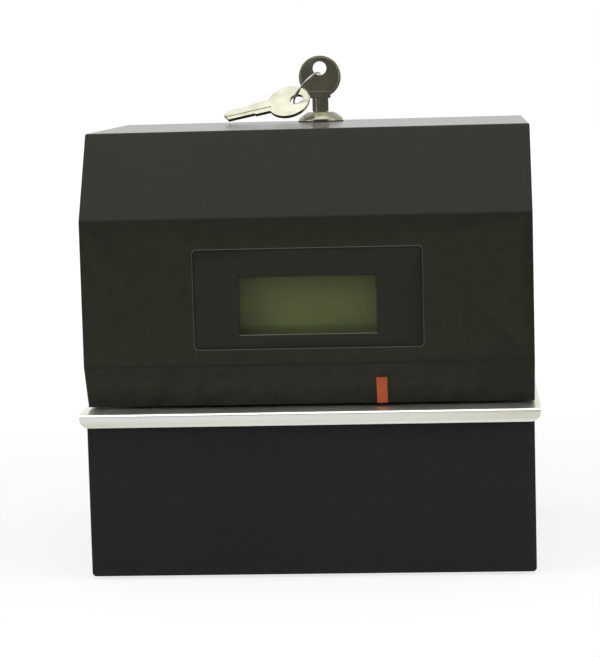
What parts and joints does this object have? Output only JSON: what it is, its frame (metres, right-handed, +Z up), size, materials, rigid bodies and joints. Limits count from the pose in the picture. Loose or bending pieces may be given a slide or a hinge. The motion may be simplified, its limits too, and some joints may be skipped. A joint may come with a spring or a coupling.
{
  "type": "date and time stamp machine",
  "caption": "Desk date and time stamp: charcoal steel case with a stainless card slot, LCD window, orange print pointer, cover lock with keys, and a moving dot print head inside.",
  "frame": {"origin": "on the desk, under the middle of the machine's overall box", "axes": "+X to the viewer's right, -Y out of the front face towards the user, +Z up"},
  "size_m": [0.222, 0.1868, 0.2513],
  "materials": {
    "case_paint": "matt black baked enamel, fine texture",
    "cover_paint": "matt charcoal baked enamel, fine texture",
    "stainless": "brushed along the width",
    "zinc_steel": "zinc plated, satin",
    "tool_steel": "ground, oiled",
    "ground_shaft": "ground and polished",
    "nickel": "nickel plated, bright",
    "rubber": "matt",
    "black_plastic": "moulded, fine grain",
    "bezel_plastic": "moulded, fine grain",
    "pointer_plastic": "moulded orange red",
    "clear_plastic": "clear, lightly tinted",
    "lcd_green": "reflective display glass",
    "board_green": "solder mask",
    "component_black": "moulded epoxy",
    "copper_coil": "taped winding",
    "lamination": "stacked, varnished",
    "battery_wrap": "shrink sleeve",
    "lead_pvc": "insulated leads",
    "flat_cable_grey": "ribbed",
    "ribbon_ink": "inked nylon",
    "nylon": "natural nylon",
    "blue_nylon": "moulded",
    "bronze": "sintered, oiled",
    "belt_rubber": "toothed, ribbed",
    "head_metal": "black anodised"
  },
  "bodies": {
    "case": {"base_shell": "case_paint", "bottom_pan": "zinc_steel", "rubber_feet": "rubber", "card_table": "stainless", "anvil_bar": "tool_steel", "anvil_bracket": "zinc_steel", "rear_panel": "case_paint", "side_frames": "zinc_steel", "mechanism_deck": "zinc_steel", "screws": "zinc_steel", "power_inlet": "black_plastic", "transformer_core": "lamination", "transformer_coil": "copper_coil", "power_board": "board_green", "battery_pack": "battery_wrap", "main_board": "board_green", "main_board_parts": "component_black", "wiring_loom": "lead_pvc", "lcd_bracket": "zinc_steel", "lcd_board": "board_green", "lcd_module": "component_black", "lcd_glass": "lcd_green", "lcd_cable": "flat_cable_grey", "guide_shafts": "ground_shaft", "shaft_blocks": "zinc_steel", "step_motor": "zinc_steel", "idler_bracket": "zinc_steel", "timing_belt": "belt_rubber", "ribbon_case": "black_plastic", "ribbon_lid": "black_plastic", "ribbon_band": "ribbon_ink", "trigger_bracket": "zinc_steel", "trigger_spring": "zinc_steel", "paper_switch": "component_black", "lock_keeper": "zinc_steel"},
    "cover": {"cover_shell": "cover_paint", "display_bezel": "bezel_plastic", "display_window": "clear_plastic", "print_pointer": "pointer_plastic", "lock_body": "nickel", "lock_nut": "zinc_steel"},
    "key": {"lock_plug": "nickel", "lock_cam": "zinc_steel", "lock_key": "nickel"},
    "ring": {"key_ring": "nickel", "spare_key": "nickel"},
    "carriage": {"carriage": "black_plastic", "carriage_bushes": "bronze", "print_head": "head_metal"},
    "wires": {"print_wires": "tool_steel"},
    "drive_pulley": {"drive_pulley": "zinc_steel"},
    "idler_pulley": {"idler_pulley": "nylon"},
    "ribbon_knob": {"ribbon_knob": "blue_nylon"},
    "ribbon_idler": {"ribbon_idler_gear": "nylon"},
    "trigger": {"trigger_lever": "nylon"},
    "paper_stop": {"paper_stop": "zinc_steel"},
    "stop_knob": {"stop_knob": "black_plastic"},
    "mode_button": {"mode_button": "nylon"},
    "change_button": {"change_button": "nylon"},
    "set_button": {"set_button": "nylon"}
  },
  "joints": [
    {"name": "cover_lift", "type": "slide", "parent": "case", "child": "cover", "axis": [0, 0, 1], "range_m": [0, 0.14]},
    {"name": "key_turn", "type": "hinge", "parent": "cover", "child": "key", "pos_m": [0, 0.0691, 0.221], "axis": [0, 0, 1], "range_deg": [0, 90]},
    {"name": "ring_swing", "type": "hinge", "parent": "key", "child": "ring", "pos_m": [-0.0005, 0.0691, 0.242], "axis": [0, 1, 0], "range_deg": [0, 80]},
    {"name": "carriage_slide", "type": "slide", "parent": "case", "child": "carriage", "axis": [1, 0, 0], "range_m": [-0.045, 0]},
    {"name": "wires_strike", "type": "slide", "parent": "carriage", "child": "wires", "axis": [0, 0, -1], "range_m": [0, 0.0004], "stiffness_N_per_m": 200, "springref_m": -0.0002},
    {"name": "drive_pulley_turn", "type": "hinge", "parent": "case", "child": "drive_pulley", "pos_m": [-0.08, 0.0206, 0.0895], "axis": [0, 0, 1], "range_deg": [-462, 10]},
    {"name": "idler_pulley_turn", "type": "hinge", "parent": "case", "child": "idler_pulley", "pos_m": [0.092, 0.0206, 0.0895], "axis": [0, 0, 1], "range_deg": [-462, 10]},
    {"name": "ribbon_knob_turn", "type": "hinge", "parent": "case", "child": "ribbon_knob", "pos_m": [-0.038, -0.0519, 0.0895], "axis": [0, 0, 1], "continuous": true},
    {"name": "ribbon_idler_turn", "type": "hinge", "parent": "case", "child": "ribbon_idler", "pos_m": [-0.02385, -0.0519, 0.0895], "axis": [0, 0, 1], "continuous": true},
    {"name": "trigger_push", "type": "hinge", "parent": "case", "child": "trigger", "pos_m": [0.035, -0.0034, 0.068], "axis": [-1, 0, 0], "range_deg": [0, 10], "stiffness_Nm_per_rad": 0.01, "springref_deg": -8.59},
    {"name": "stop_slide", "type": "slide", "parent": "case", "child": "paper_stop", "axis": [0, -1, 0], "range_m": [0, 0.015]},
    {"name": "stop_knob_turn", "type": "hinge", "parent": "case", "child": "stop_knob", "pos_m": [0.026, 0.0606, 0.0895], "axis": [0, 0, 1], "range_deg": [0, 360]},
    {"name": "mode_button_press", "type": "slide", "parent": "case", "child": "mode_button", "axis": [0, 1, 0], "range_m": [0, 0.0008], "stiffness_N_per_m": 600, "springref_m": -0.0003},
    {"name": "change_button_press", "type": "slide", "parent": "case", "child": "change_button", "axis": [0, 1, 0], "range_m": [0, 0.0008], "stiffness_N_per_m": 600, "springref_m": -0.0003},
    {"name": "set_button_press", "type": "slide", "parent": "case", "child": "set_button", "axis": [0, 1, 0], "range_m": [0, 0.0008], "stiffness_N_per_m": 600, "springref_m": -0.0003}
  ],
  "couplings": [
    {"joint": "drive_pulley_turn", "follows": "carriage_slide", "rad_per_m": 175.44},
    {"joint": "idler_pulley_turn", "follows": "carriage_slide", "rad_per_m": 175.44},
    {"joint": "ribbon_idler_turn", "follows": "ribbon_knob_turn", "ratio": -1}
  ]
}
